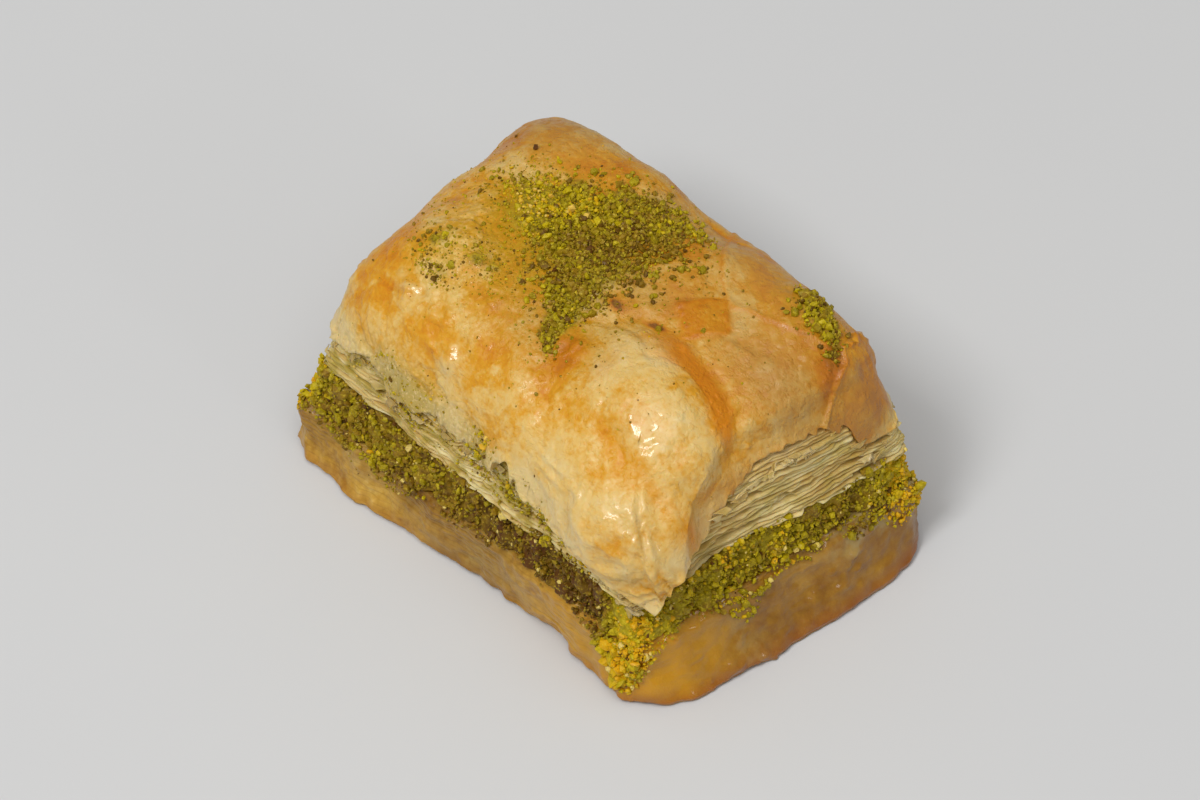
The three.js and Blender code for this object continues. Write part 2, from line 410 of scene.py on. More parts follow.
nuts = Finish("ground pistachio", Roughness=0.55, Subsurface_Weight=0.15, Subsurface_Scale=0.0006,
              Subsurface_Radius=(0.9, 0.85, 0.2), Specular_IOR_Level=0.22, Coat_Weight=0.06,
              Coat_Roughness=0.2)
tint, speck = *nuts.painted("tint"), nuts.grain(0.35, detail=2.0)
nut_tone = nuts.ramp(tint, (0.0, 92, 50, 4), (0.16, 106, 76, 4), (0.34, 148, 114, 14), (0.52, 152, 132, 0),
                     (0.72, 196, 172, 0), (0.86, 222, 166, 0), (1.0, 230, 202, 110))
nut_tone = nuts.coats(nut_tone, ((222, 198, 60), nuts.between(speck, 0.54, 0.7) * 0.45),
                      ((92, 62, 0), nuts.between(speck, 0.44, 0.3) * 0.4))
nuts.shade(Base_Color=nut_tone, Roughness=0.4 + speck * 0.35,
           Normal=nuts.bumps(nuts.grain(0.2, detail=2.0), 0.1))

# The nuts' reach and hue round the piece: distance from the front left corner, lowest and highest
# crumb, and tint, from dark brown over olive to yellow.
REACH = np.array([
    (0, 4.8, 12.0, 0.68), (2.5, 4.8, 12.2, 0.46), (6.5, 4.6, 12.1, 0.38), (10.5, 2.8, 11.9, 0.46),
    (14, 3.4, 12.0, 0.46), (18, 4.6, 12.2, 0.42), (26, 6.2, 11.8, 0.32), (34, 7.8, 12.8, 0.2),
    (41, 7.2, 13.5, 0.16), (44.5, 5.0, 13.4, 0.3), (47, 2.4, 12.4, 0.78), (49.5, 1.2, 11.2, 0.86),
    (51.6, 1.6, 11.0, 0.82), (53.5, 5.2, 12.0, 0.7), (56, 6.8, 12.6, 0.6), (60, 7.4, 14.4, 0.56),
    (62, 7.2, 14.4, 0.58), (63.7, 4.2, 14.2, 0.66), (66, 6.0, 14.2, 0.64), (68.5, 7.6, 14.2, 0.56),
    (75, 7.8, 13.4, 0.5), (79, 7.4, 13.6, 0.34), (82, 6.4, 14.4, 0.66), (86.6, 4.0, 13.8, 0.78),
    (92, 6.4, 13.0, 0.45), (110, 7.4, 12.6, 0.4), (130, 6.8, 12.8, 0.4), (138, 6.0, 12.4, 0.5),
    (155, 7.0, 12.8, 0.45), (173.2, 4.4, 11.6, 0.72)])
SIDE_LENGTH = REACH[-1, 0]


def usual_tint(around, share=1.0):
    """The nuts' hue so far round the piece, less a share of the dark patch beside the yellow corner."""
    return np.interp(around, *REACH[:, [0, 3]].T) - 0.4 * bell(around - 46, 2.5) * share


CORE_COLUMNS, CORE_ROWS = 1100, 50
u, v, around = rim(CORE_COLUMNS)
rise = np.linspace(-0.06, 1.06, CORE_ROWS)[:, None]
core = filling_wall(u[None, :], v[None, :], rise)
lumps = 0.42 * rough(core, 1.7, 20) + 0.2 * np.abs(noise(core, 0.8, 24)) + 0.08 * noise(core, 0.35, 25) - 0.1
core = core + outwards(core) * (lumps - 0.8 * smooth(np.abs(rise - 0.5), 0.48, 0.56))[..., None]
rings = np.stack([core[0] * (0.9, 0.9, 1), *core, core[-1] * (0.9, 0.9, 1)])
points, quads, triangles = closed_rings(rings)
filling = make_piece("filling_core", points, quads, triangles, nuts, "ground_pistachio", "pistachio_filling")
usual = np.append(np.tile(usual_tint(around), len(rings)), [0.3, 0.3])
paint(filling, tint=(usual - 0.1 + 0.2 * rough(points, 1.3, 22)).clip(0.02, 0.9))


def side_surface(u, v, z):
    """The block's outermost side at height z: the bottom stack's wall, then the nuts', then the top
    stack's, each handing over to the next at its seam."""
    x, y = outline(u, v, **BASE)
    base_top = seam_z(x, y, BASE_HEIGHT)
    x, y = outline(u, v, **FILLING)
    low, high = seam_z(x, y, BASE_HEIGHT) + GAP, seam_z(x, y, FILLING_TOP)
    lower = base_wall(u, v, np.clip(z / base_top, 0, 1))
    middle = filling_wall(u, v, np.clip((z - low) / (high - low), 0, 1))
    upper = top_wall(u, v, z)
    place = mix(lower, middle, smooth(z, base_top - 0.3, base_top + 0.5)[..., None])
    place = mix(place, upper, smooth(z, high - 0.3, high + 0.7)[..., None])
    place[..., 2] = z
    return place


def by_side(u, v, front, back, left, right):
    """A value of the four sides, weighed by how near the point is to each of them."""
    along, across = np.abs(u) ** 3, np.abs(v) ** 3
    ends, sides = mix(left, right, smooth(u, -1, 1)), mix(front, back, smooth(v, -1, 1))
    return (ends * along + sides * across + 0.01 * (ends + sides)) / (along + across + 0.02)


def top_point(u, v, rise, crust_height):
    """A point of the top stack's block: its wall comes in with height and its corners grow rounder."""
    x, y = outline(u, v, corner=mix(1.5, 4.5, rise * rise), **TOP)
    floor = seam_z(x, y, FILLING_TOP) + GAP
    z = mix(floor, crust_height(x, y, u, v), rise)
    share = np.sqrt(u**16 + v**16)
    uneven = 0.35 * share * wobble(1.7 * x, 1.7 * y, 2 * rise)
    taper_x, taper_y = np.where(u < 0, 0.08, 0.16), np.where(v < 0, 0.15, 0.03)
    x = x - u * (z - floor) * taper_x + u * uneven
    y = y - v * (z - floor) * taper_y + v * uneven
    return np.stack([x, y, z], axis=-1)


def shoulder_z(x, y, u, v):
    """Where the top stack's walls begin to round over, side by side."""
    return by_side(u, v, front=17.6, back=19.4, left=18.6, right=17.8)


def top_wall(u, v, z):
    """The top stack's side at height z, up to its shoulder."""
    x, y = outline(u, v, corner=1.5, **TOP)
    floor = seam_z(x, y, FILLING_TOP) + GAP
    return top_point(u, v, np.clip((z - floor) / (shoulder_z(x, y, u, v) - floor), 0, 1), shoulder_z)


PHI = (1 + 5**0.5) / 2
ICOSAHEDRON = np.array([[-1, PHI, 0], [1, PHI, 0], [-1, -PHI, 0], [1, -PHI, 0], [0, -1, PHI], [0, 1, PHI],
                        [0, -1, -PHI], [0, 1, -PHI], [PHI, 0, -1], [PHI, 0, 1], [-PHI, 0, -1], [-PHI, 0, 1]])
ICO_FACES = np.array([[0, 11, 5], [0, 5, 1], [0, 1, 7], [0, 7, 10], [0, 10, 11], [1, 5, 9], [5, 11, 4],
                      [11, 10, 2], [10, 7, 6], [7, 1, 8], [3, 9, 4], [3, 4, 2], [3, 2, 6], [3, 6, 8],
                      [3, 8, 9], [4, 9, 5], [2, 4, 11], [6, 2, 10], [8, 6, 7], [9, 8, 1]])


def repeated(faces, points_each, count):
    """The faces of one shape, once for each of so many copies with that many points each."""
    return (faces + points_each * np.arange(count)[:, None, None]).reshape(-1, faces.shape[1])


def crumbs(centres, sizes, random):
    """Chopped nuts: each an icosahedron of that size, its twelve corners pushed in and out at random,
    then flattened, drawn out and turned at random about its centre."""
    count = len(centres)
    shapes = ICOSAHEDRON / np.linalg.norm(ICOSAHEDRON[0]) * random.uniform(0.62, 1.12, (count, 12, 1))
    shapes = shapes * random.uniform(0.5, 1.1, (count, 1, 3)) * sizes[:, None, None] / 2
    a, b, c, d = unit(random.normal(size=(count, 4))).T
    turn = np.stack([1 - 2 * (c * c + d * d), 2 * (b * c - a * d), 2 * (b * d + a * c),
                     2 * (b * c + a * d), 1 - 2 * (b * b + d * d), 2 * (c * d - a * b),
                     2 * (b * d - a * c), 2 * (c * d + a * b), 1 - 2 * (b * b + c * c)], axis=-1)
    points = np.einsum("nij,nkj->nki", turn.reshape(-1, 3, 3), shapes) + centres[:, None, :]
    return points.reshape(-1, 3), (), repeated(ICO_FACES, 12, count)


def at_side(around, z):
    """The block's side so far round it and at a height, and the level direction out of it there."""
    steps = (0, -0.4, 0.4)
    here, before, after = (side_surface(*on_edge((around + step) % CORNERS[-1]), z) for step in steps)
    return here, right_of(after - before)


CRUMBS, HEAP = 9400, 600
# Heaps where the knife dragged crumbs together: how far round the piece, and their scatter.
HEAPS = np.array([(49.3, 2.4), (0.0, 1.6), (84.0, 3.0), (66.0, 7.0), (11.0, 5.0)])
PALE, SCORCHED = 1.0, 0.04  # tints of the odd blanched or over-roasted nut

random = np.random.default_rng(31)
heaps = random.normal(*np.repeat(HEAPS, HEAP, axis=0).T)
around = np.concatenate([random.uniform(0, SIDE_LENGTH, CRUMBS - len(heaps)), heaps % SIDE_LENGTH])
low, high = np.interp(around, *REACH[:, [0, 1]].T), np.interp(around, *REACH[:, [0, 2]].T)
low = low + 1.1 * noise(on_sheet(around, 0), 2.6, 34)
height = mix(low, high, random.beta(1.5, 1.5, CRUMBS))
sizes = np.exp(random.normal(math.log(0.42), 0.5, CRUMBS)).clip(0.15, 1.7)
sizes = sizes * (1 + 0.7 * bell(around - 48.5, 3) * smooth(-height, -8, -4))
here, out = at_side(around, height)
centres = here + out * (random.uniform(-0.3, 0.15, CRUMBS) * sizes + 0.12)[:, None]
side_crumbs = make_piece("filling_crumbs", *crumbs(centres, sizes, random), nuts, "ground_pistachio",
                         flat_faces=True)
tints = usual_tint(around, smooth(height, 5, 8)) + 0.12 * random.normal(size=CRUMBS)
tints = tints + 0.14 * noise(centres, 3.0, 33)
chance = random.random(CRUMBS)
tints = np.where(chance < 0.03, SCORCHED, np.where(chance > 0.97, PALE, tints.clip(0.08, 0.86)))
paint(side_crumbs, tint=np.repeat(tints, 12))


# -------------------------------------------------------------------------------- Top leaves
# Two dozen paper-thin leaves, puffed apart by steam as they baked. Cut through, their edges show
# round the piece as fine pale lines, some standing out, some broken back, dry and cream-coloured.

SPAN_F, SPAN_G = 28.0, 22.0  # flat millimetres over the crust from its middle to its shoulders
WALL = 7.0  # flat millimetres from a shoulder down to the nuts
CROWN, DOME_POWER = 27.9, 0.42
# Blisters and hollows that baking left: place, half sizes, turn in degrees, height.
SWELLS = [(15.6, -7.4, 7.4, 5.2, -8, 0.9), (20.0, -12.4, 4.2, 2.6, -4, 0.9), (-15.5, -8.0, 6.0, 4.5, 20, 0.7),
          (12.0, 8.0, 8.0, 4.5, -6, -0.6), (3.0, -11.0, 4.0, 3.5, 0, -0.7), (-0.5, 14.5, 8.0, 4.5, 0, -1.3)]


def turned(x, y, centre_x, centre_y, degrees):
    """Coordinates about a centre, along and across a direction turned from +X by those degrees."""
    angle = math.radians(degrees)
    dx, dy = x - centre_x, y - centre_y
    return dx * math.cos(angle) + dy * math.sin(angle), dy * math.cos(angle) - dx * math.sin(angle)


def swell(x, y, centre_x, centre_y, along, across, degrees, height):
    """A smooth bump over an ellipse: its height in the middle, nothing at its rim."""
    a, b = turned(x, y, centre_x, centre_y, degrees)
    q = (a / along) ** 2 + (b / across) ** 2
    return height * np.maximum(0, 1 - q) ** 2 * (1 + q)


def crust_z(x, y, u, v):
    """The crust's height: shoulders, a full dome that falls steeply at its edge, and the swells."""
    along = 1 - np.abs(u) ** np.where(u < 0, 6.0, 5.0)
    across = 1 - np.abs(v) ** np.where(v < 0, 3.6, 7.5)
    dome = np.maximum(along * across, 0) ** DOME_POWER
    inside = smooth(1 - (u**8 + v**8) ** (1 / 8), 0, 0.12)
    uneven = sum(swell(x, y, *one) for one in SWELLS) + 0.4 * wobble(x, y, 1)
    return mix(shoulder_z(x, y, u, v), CROWN, dome) + inside * uneven


def past_middle(f, g):
    """How far out a place lies: 0 in the middle of the crust, 1 at its shoulders."""
    return np.maximum(np.abs(f) / SPAN_F, np.abs(g) / SPAN_G)


def past_rounded(f, g):
    """How far out a place lies, as past_middle, but easing round the corners."""
    return ((f / SPAN_F) ** 10 + (g / SPAN_G) ** 10) ** 0.1


def crust(f, g):
    """The top stack's whole skin, unrolled: f and g are millimetres laid flat over it from its middle
    along X and Y. Up to the spans they go over the dome, drawn out towards its edge by a sine, and
    past them down the walls."""
    m = np.maximum(past_middle(f, g), 1e-9)
    from_middle = np.maximum(mix(past_rounded(f, g), m, smooth(m, 0.75, 1)), 1e-9)
    over = np.minimum(from_middle, 1)
    stretch = mix(over, np.sin(over * np.pi / 2), 0.8) / from_middle
    rise = 1 - np.clip((m - 1) * (SPAN_F + SPAN_G) / 2 / WALL, 0, 1)
    return top_point(f / SPAN_F * stretch, g / SPAN_G * stretch, rise, crust_z)


def spread(corner_values, count):
    """Values round the piece from (distance, value) pairs, eased from each to the next."""
    at, values = np.array(corner_values, dtype=float).T
    distance = np.arange(count) / count * SIDE_LENGTH
    step = np.clip(np.searchsorted(at, distance, side="right") - 1, 0, len(at) - 2)
    share = smooth((distance - at[step]) / (at[step + 1] - at[step]), 0, 1)
    return mix(values[step], values[step + 1], share)


# How far the golden skin reaches over the edge, as a share of the way to the shoulder, at distances
# round the piece: it stops short on the cut end and hangs furthest down at the front right corner.
SKIN_EDGE = [
    (0, 1.08), (3, 1.05), (6.5, 0.99), (9, 1.03), (12.5, 1.07), (18, 1.0), (24, 1.03), (29, 0.99),
    (34, 1.04), (40, 1.04), (44, 1.08), (47.5, 1.17), (51.4, 1.25), (53, 1.19), (55, 1.08), (59, 1.0),
    (62, 0.96), (65, 0.93), (69, 0.9), (73, 0.885), (76, 0.91), (79, 0.96), (82, 1.06), (86.6, 1.07),
    (91, 1.02), (97, 1.07), (104, 0.98), (111, 1.05), (119, 1.0), (127, 1.06), (134, 1.0), (138, 1.04),
    (144, 0.98), (151, 1.05), (158, 0.99), (166, 1.06), (173.2, 1.08)]

LEAVES, LEAF_COLUMNS, LEAF_THICKNESS = 24, 500, 0.3
PROFILE_ROWS = 90

u, v, around = rim(LEAF_COLUMNS)
# The block's own profile at each column, from well inside the dome down to the nuts.
m = np.linspace(0.7, 1 + 2 * WALL / (SPAN_F + SPAN_G), PROFILE_ROWS)[:, None]
profile = crust(u * SPAN_F * m, v * SPAN_G * m)
floor_z = profile[-1, :, 2]


def on_profile(heights):
    """The block's skin at given heights in each column, read off the profile between its rows."""
    above = (profile[None, :, :, 2] > heights[:, None, :]).sum(axis=1).clip(1, PROFILE_ROWS - 1)
    columns = np.arange(LEAF_COLUMNS)
    upper, lower = profile[above - 1, columns], profile[above, columns]
    share = (upper[..., 2] - heights) / np.maximum(upper[..., 2] - lower[..., 2], 1e-6)
    return mix(upper, lower, np.clip(share, 0, 1)[..., None])


number = np.arange(LEAVES)[:, None]
ring_place = on_sheet(around, number * 11.3)
leaf_top = 22.6 + 0.5 * noise(ring_place[:1], 9.0, 40) - 1.2 * smooth(-v, 0, 1)
leaf_z = mix(floor_z + 0.2, leaf_top, (number + 0.3) / LEAVES)
leaf_z = leaf_z + 0.45 * noise(ring_place * (1, 0.1, 1), 7.0, 41)
leaf_z = leaf_z + noises(ring_place, (0.08, 4.0, 42), (0.04, 1.4, 48))
skin_row = (spread(SKIN_EDGE, LEAF_COLUMNS) - m[0, 0]) / (m[-1, 0] - m[0, 0]) * (PROFILE_ROWS - 1)
skin_z = profile[np.clip(skin_row, 0, PROFILE_ROWS - 1).astype(int), np.arange(LEAF_COLUMNS), 2]
tucked = smooth(leaf_z - skin_z, -0.5, 0.1)
broken = 0.5 * smooth(noise(ring_place, 3.2, 46), 0.5, 0.6)
behind_lobe = 1.1 * bell(around - 60.5, 4.0)
dug_out = 0.5 * bell(around - 11, 6.0) * smooth(-number, -5, -2)
stands_out = 0.1 + noises(ring_place, (0.14, 6.0, 43), (0.12, 1.6, 44), (0.12, 0.8, 45))
stands_out = stands_out - tucked - broken - behind_lobe - dug_out
droop = noises(ring_place, (0.1, 2.8, 47), (0.06, 1.0, 51)) - 0.05
# Section of a leaf: how far in from its edge, height in thicknesses, share of the edge's droop, and
# share of the edge's own colour, the rest being painted shade towards the gap between the leaves.
SECTION = [(3.0, -0.5, 0, 0), (1.0, -0.5, 0.4, 0.3), (0.12, -0.5, 1, 0.9), (0.0, -0.1, 1, 1),
           (0.03, 0.3, 1, 1), (0.2, 0.5, 1, 0.9), (1.1, 0.5, 0.4, 0.3), (3.0, 0.5, 0, 0)]
leaf_skin = on_profile(leaf_z)
leaf_out = outwards(leaf_skin)
sections = []
for inwards, thicknesses, share, _ in SECTION:
    line = leaf_skin + leaf_out * (stands_out - inwards)[..., None]
    line[..., 2] = leaf_z + thicknesses * LEAF_THICKNESS + share * droop
    sections.append(line)
sections = np.stack(sections, axis=1)
side = np.arange(len(SECTION))[:, None] * LEAF_COLUMNS
here = side + np.arange(LEAF_COLUMNS)
over, beside = np.roll(here, -1, axis=0), np.roll(here, -1, axis=1)
leaf_faces = np.stack([here, beside, np.roll(over, -1, axis=1), over], axis=-1).reshape(-1, 4)

leaves = Finish("dry pastry leaves", Roughness=0.5, Subsurface_Weight=0.4, Subsurface_Scale=0.0012,
                Subsurface_Radius=(1.0, 0.7, 0.35), IOR=1.42, Coat_Weight=0.3, Coat_Roughness=0.2)
high_share, greenness, tip, own = leaves.painted("high", "green", "tip", "own")
drift = (leaves.grain(3.0) * 0.5 + leaves.grain(0.8) * 0.5) * 0.55 + own * 0.45
leaf_tone = leaves.ramp(drift, (0.2, 192, 154, 80), (0.45, 216, 184, 112), (0.7, 238, 216, 156))
soaked_green = greenness * leaves.between(leaves.grain(2.2, detail=4.0), 0.42, 0.62)
browner = leaves.between(high_share + drift * 0.3, 0.75, 1.1) * 0.7
leaf_tone = leaves.coats(leaf_tone, ((176, 152, 60), soaked_green), ((214, 170, 96), browner))
# Deeper in from each edge the leaves take a darker colour: painted shade in the gaps between them.
leaves.shade(Base_Color=leaves.coats((196, 158, 92), (leaf_tone, tip * 0.5 + 0.5)),
             Normal=leaves.bumps(leaves.grain(0.4), 0.08))

leaf_faces = repeated(leaf_faces, here.size, LEAVES)
top_leaves = make_piece("top_leaf_edges", sections.reshape(-1, 3), leaf_faces, (), leaves, "golden_crust")
greens = smooth(-v, 0.6, 1) * smooth(-u, -0.95, -0.3) + 0.35 * smooth(u, 0.8, 1) + 0.2
own_tones = 0.5 + noises(ring_place, (0.5, 5.0, 49), (0.2, 1.0, 54))
whole = np.zeros(sections.shape[:3])
paint(top_leaves, lambda values: (whole + values).ravel(), high=(number / LEAVES)[:, None],
      tip=np.array(SECTION)[:, 3:], green=greens.clip(0, 1), own=own_tones[:, None])


# -------------------------------------------------------------------------------- Golden crust
# The topmost leaves, brushed with butter, blistered and browned in the oven, then glazed with hot
# syrup: thin, brittle, shiny and see-through, golden with amber where they stood up highest. They roll
# over the edges, and at the front right corner hang almost down to the nuts.

GRID_F, GRID_G = 322, 250
EDGE_STEPS, EASING_PASSES = 2048, 140
LIP = 0.14
SKIN_OVER = 0.1  # the skin lies this far outside the block


def hump(f, g, centre_f, centre_g, half_f, half_g, degrees=0.0):
    """1 in the middle of a turned ellipse, fading like a bell to almost nothing at twice its size."""
    a, b = turned(f, g, centre_f, centre_g, degrees)
    return bell(a, half_f) * bell(b, half_g)


def overlaid(f, g, places):
    """The sum of a list of humps: each its middle, half sizes, perhaps a turn in degrees, and strength."""
    return sum(place[-1] * hump(f, g, *place[:-1]) for place in places)


def to_line(f, g, line):
    """Distance from each place to the nearest point of a line of straight stretches."""
    nearest = np.inf
    for (f1, g1), (f2, g2) in zip(line[:-1], line[1:]):
        step_f, step_g = f2 - f1, g2 - g1
        share = np.clip(((f - f1) * step_f + (g - g1) * step_g) / (step_f**2 + step_g**2), 0, 1)
        nearest = np.minimum(nearest, np.hypot(f - f1 - share * step_f, g - g1 - share * step_g))
    return nearest


def curve(corners, steps=8, closed=False):
    """A smooth line through the corners: on each stretch a cubic whose slope at either end is half
    the way between that end's neighbours."""
    ends, how = ((1, 2), {"mode": "wrap"}) if closed else ((1, 1), {"mode": "reflect", "reflect_type": "odd"})
    knots = np.pad(np.array(corners, dtype=float), (ends, (0, 0)), **how)
    before, start, end, after = knots[:-3, None], knots[1:-2, None], knots[2:-1, None], knots[3:, None]
    t = (np.arange(steps) / steps)[:, None]
    line = 0.5 * (2 * start + (end - before) * t + (2 * before - 5 * start + 4 * end - after) * t**2
                  + (3 * start - before - 3 * end + after) * t**3)
    return np.concatenate([line.reshape(-1, 2), knots[-2:-1]])


def depth_inside(f, g, line):
    """Distance to a closed line, positive inside it: a place is inside where a ray along +f crosses
    the line an odd number of times."""
    crossed = np.zeros(np.shape(f), dtype=bool)
    for (f1, g1), (f2, g2) in zip(line[:-1], line[1:]):
        if g1 != g2:
            crossed ^= ((g1 > g) != (g2 > g)) & (f < (f2 - f1) * (g - g1) / (g2 - g1) + f1)
    return np.where(crossed, 1, -1) * to_line(f, g, line)


def facets(f, g, size, seed):
    """Crumpled unevenness between -1 and 1: a lattice of triangles that is itself bent about, with a
    random height at each corner and flat faces between, so that it has sharp creases."""
    bend_f, bend_g = (0.7 * size * noise(on_sheet(f, g), 1.8 * size, seed + step) for step in (1, 2))
    f, g = f + bend_f, g + bend_g
    along, across = (f - g / 3**0.5) / size, 2 * g / 3**0.5 / size
    i, j = np.floor(along).astype(int), np.floor(across).astype(int)
    s, t = along - i, across - j
    heights = np.random.default_rng(seed).uniform(-1, 1, (LATTICE, LATTICE))
    steps = ((0, 0), (1, 1), (1, 0), (0, 1))
    start, end, right, left = (heights[(i + over) % LATTICE, (j + up) % LATTICE] for over, up in steps)
    near = start * (1 - s - t) + right * s + left * t
    far = end * (s + t - 1) + right * (1 - t) + left * (1 - s)
    return np.where(s + t < 1, near, far)


BLISTER = curve([
    (4.0, -2.2), (6.4, -0.2), (8.8, 0.8), (12, 0.3), (16, -0.4), (19.2, -1.2), (21.2, -2.6), (23.0, -4.4),
    (24.2, -7.0), (25.2, -10.0), (26.0, -13.0), (23.5, -14.0), (20, -13.7), (16.4, -13.2), (12.5, -12.9),
    (9.5, -12.8), (7.4, -11.6), (6.0, -9.0), (5.0, -6.4), (4.0, -4.2)], 5, closed=True)
BLISTER_CREASE = curve([
    (11.4, -12.4), (13.9, -13.1), (16.4, -13.2), (20, -13.7), (23.5, -14.1), (26.8, -13.6)], 4)
CORNER_FOLD = curve([
    (23.2, -8.6), (25.4, -12.2), (26.6, -14.4), (28.0, -16.2), (30.0, -18.6), (32.6, -21.6)], 4)
LOBE_FOLD = curve([(25.2, -14.6), (26.4, -16.6), (27.6, -18.8), (28.6, -21.2)], 3)
UPPER_CREASE = curve([(9.6, -4.2), (6.8, -2.2), (3.6, -2.6), (1.4, -4.4), (0.6, -7.2), (1.8, -9.6)], 4)
# Where nuts ground to powder cake the skin, where it folds, and where it crackled most.
CAKED = [
    (-5.6, 4.4, 6.4, 5.6, 1.0), (-1.8, -2.4, 3.0, 4.4, 15, 0.9), (-2.5, 9.8, 5, 2.6, -10, 0.7),
    (-11, 3, 4, 3, 0.6), (0.4, -7.2, 1.3, 2.6, 15, 0.85), (-9.4, -6.8, 4.0, 1.8, 10, 0.44),
    (-12.5, -10.4, 1.8, 1.2, 20, 0.45), (-12, -22.4, 7, 1.3, 0.45), (0.4, -22.6, 1.8, 1.2, 0.6),
    (9, -24.2, 4, 1.2, -8, 0.55), (-21, -24, 3, 2, 0.5), (15.4, 13.8, 2.4, 2.0, -30, 0.9),
    (-15, -8.5, 2.2, 1.6, 30, 0.45)]
FOLDED = [(28, -21.5, 4.5, 3.8, 0.8), (22.5, -20.8, 7.5, 3.6, 1.3), (-14.5, -13.7, 1.4, 1.1, 0.5),
          (-7, -17, 1.5, 1.1, 0.45)]
CRACKLED = [(16, -10, 5, 3.0, 1.2), (-6, -14, 14, 4, 0.35), (24, -19, 4.5, 2.4, 2.0),
            (-13.8, -13.6, 2, 1.5, 0.9), (3, 1, 5, 4, 0.3)]
# The torn layers at the edges: how far out each ends, 1 at the shoulders.
TORN_LEVELS = (0.94, 1.0, 1.05, 1.1, 1.15, 1.2)
# Clusters of tiny blisters: middle, scatter, how many.
BUBBLED = [
    (3.7, -6.8, 0.9, 9), (-6.0, -10.5, 1.6, 10), (-10, -12.0, 2.5, 10), (1.5, -11.0, 1.2, 7),
    (6.0, 1.5, 1.4, 8), (-16, -6, 3, 8), (12, 6, 3, 8), (22, 0, 3, 6), (-14.5, -13.7, 0.8, 7),
    (24.2, -18.8, 1.5, 12), (-7.2, -17.2, 0.9, 6)]
# Torn leaves that lie over the skin: their outlines, thickness and how far the rim curls up.
SCRAP = curve([
    (5.8, 3.4), (6.9, 5.5), (8.2, 7.3), (9.8, 6.2), (11.2, 4.9), (10.2, 3.0), (9.0, 1.3),
    (7.4, 2.4)], 3, closed=True)
RIGHT_LEAF = curve([
    (8.8, 7.3), (10.6, 8.2), (12.6, 8.9), (14.5, 9.9), (16.3, 11.1), (18.4, 12.5), (19.4, 14.4), (20.4, 20),
    (22, 30), (-4, 30), (2, 18), (5, 11)], 4, closed=True)
CORNER_FLAP = curve([
    (19.4, 14.4), (20.4, 13.4), (21.2, 12.6), (22.6, 11.6), (23.9, 10.5), (25.4, 9.2), (28, 7.2), (36, 8),
    (36, 26), (20, 27), (19.2, 18)], 4, closed=True)
SHEETS = [(SCRAP, 0.12, 0.05), (RIGHT_LEAF, 0.12, 0.1), (CORNER_FLAP, 0.22, 0.2)]


def wrinkles(f, g):
    """Sharp little folds that run along the side, between -1 and 1: ridges where a noise drawn out
    along X passes through nothing."""
    return np.maximum(1 - 4 * np.abs(rough(on_sheet((f - 0.2 * g) / 4.5, g + 0.12 * f), 1.5, 178, 2)), -1)


def bubbles(f, g):
    """Pinhead blisters in clusters: bells of random places about each cluster's middle, 0.3 to 0.7 mm in
    half size."""
    random = np.random.default_rng(191)
    height = 0
    for *middle, scatter, count in BUBBLED:
        for *place, size in random.normal((*middle, 0), (scatter, scatter, 1), (count, 3)):
            half = 0.45 + 0.12 * np.clip(size, -1, 2)
            height = np.maximum(height, 0.45 * half * hump(f, g, *place, half, half))
    return height


def flakes(f, g):
    """How many thin sheets lie over a place: noise cut at three levels, each a sharp ragged step."""
    field = rough(on_sheet(f, g), 7.5, 181, 4)
    return sum(smooth(field, level - 0.03, level + 0.03) for level in (-0.4, 0.05, 0.5))


def mossy(f, g):
    """How thickly the finest ground nuts are caked on a place, 0 to 1."""
    uneven = noises(on_sheet(f, g), (0.25, 2.0, 186), (0.15, 0.7, 187))
    return smooth(overlaid(f, g, CAKED) + uneven, 0.42, 0.8)


def torn_steps(f, g):
    """How many torn layers of skin still lie over a place near the edges: each ends on its own ragged
    line round the piece, save on the cut end, where the skin breaks off clean, and on the lobe."""
    still_over = 0.1 * smooth(f, 0.5, 3) * smooth(-g, 10, 13) - past_rounded(f, g)
    layers = 0
    for number, level in enumerate(TORN_LEVELS):
        seed = 153 + 3 * number
        ragged = noises(on_sheet(f, g), (0.06, 4.5, seed), (0.035, 1.5, seed + 1), (0.015, 0.5, seed + 2))
        layers = layers + smooth(level + ragged + still_over, -0.004, 0.006)
    return layers * (1 - smooth(f, 21, 24) * smooth(g, -14, -11))


def crumple(f, g):
    """How the thin skin is crumpled, between about -1 and 1: broad facets and finer ones, both drawn out
    along X at the front."""
    drawn = smooth(-g, 13, 16)
    broad, fine = facets(f * mix(1, 0.45, drawn), g, 2.4, 163), facets(f * mix(1, 0.6, drawn), g, 1.1, 166)
    return 0.65 * broad + 0.35 * fine


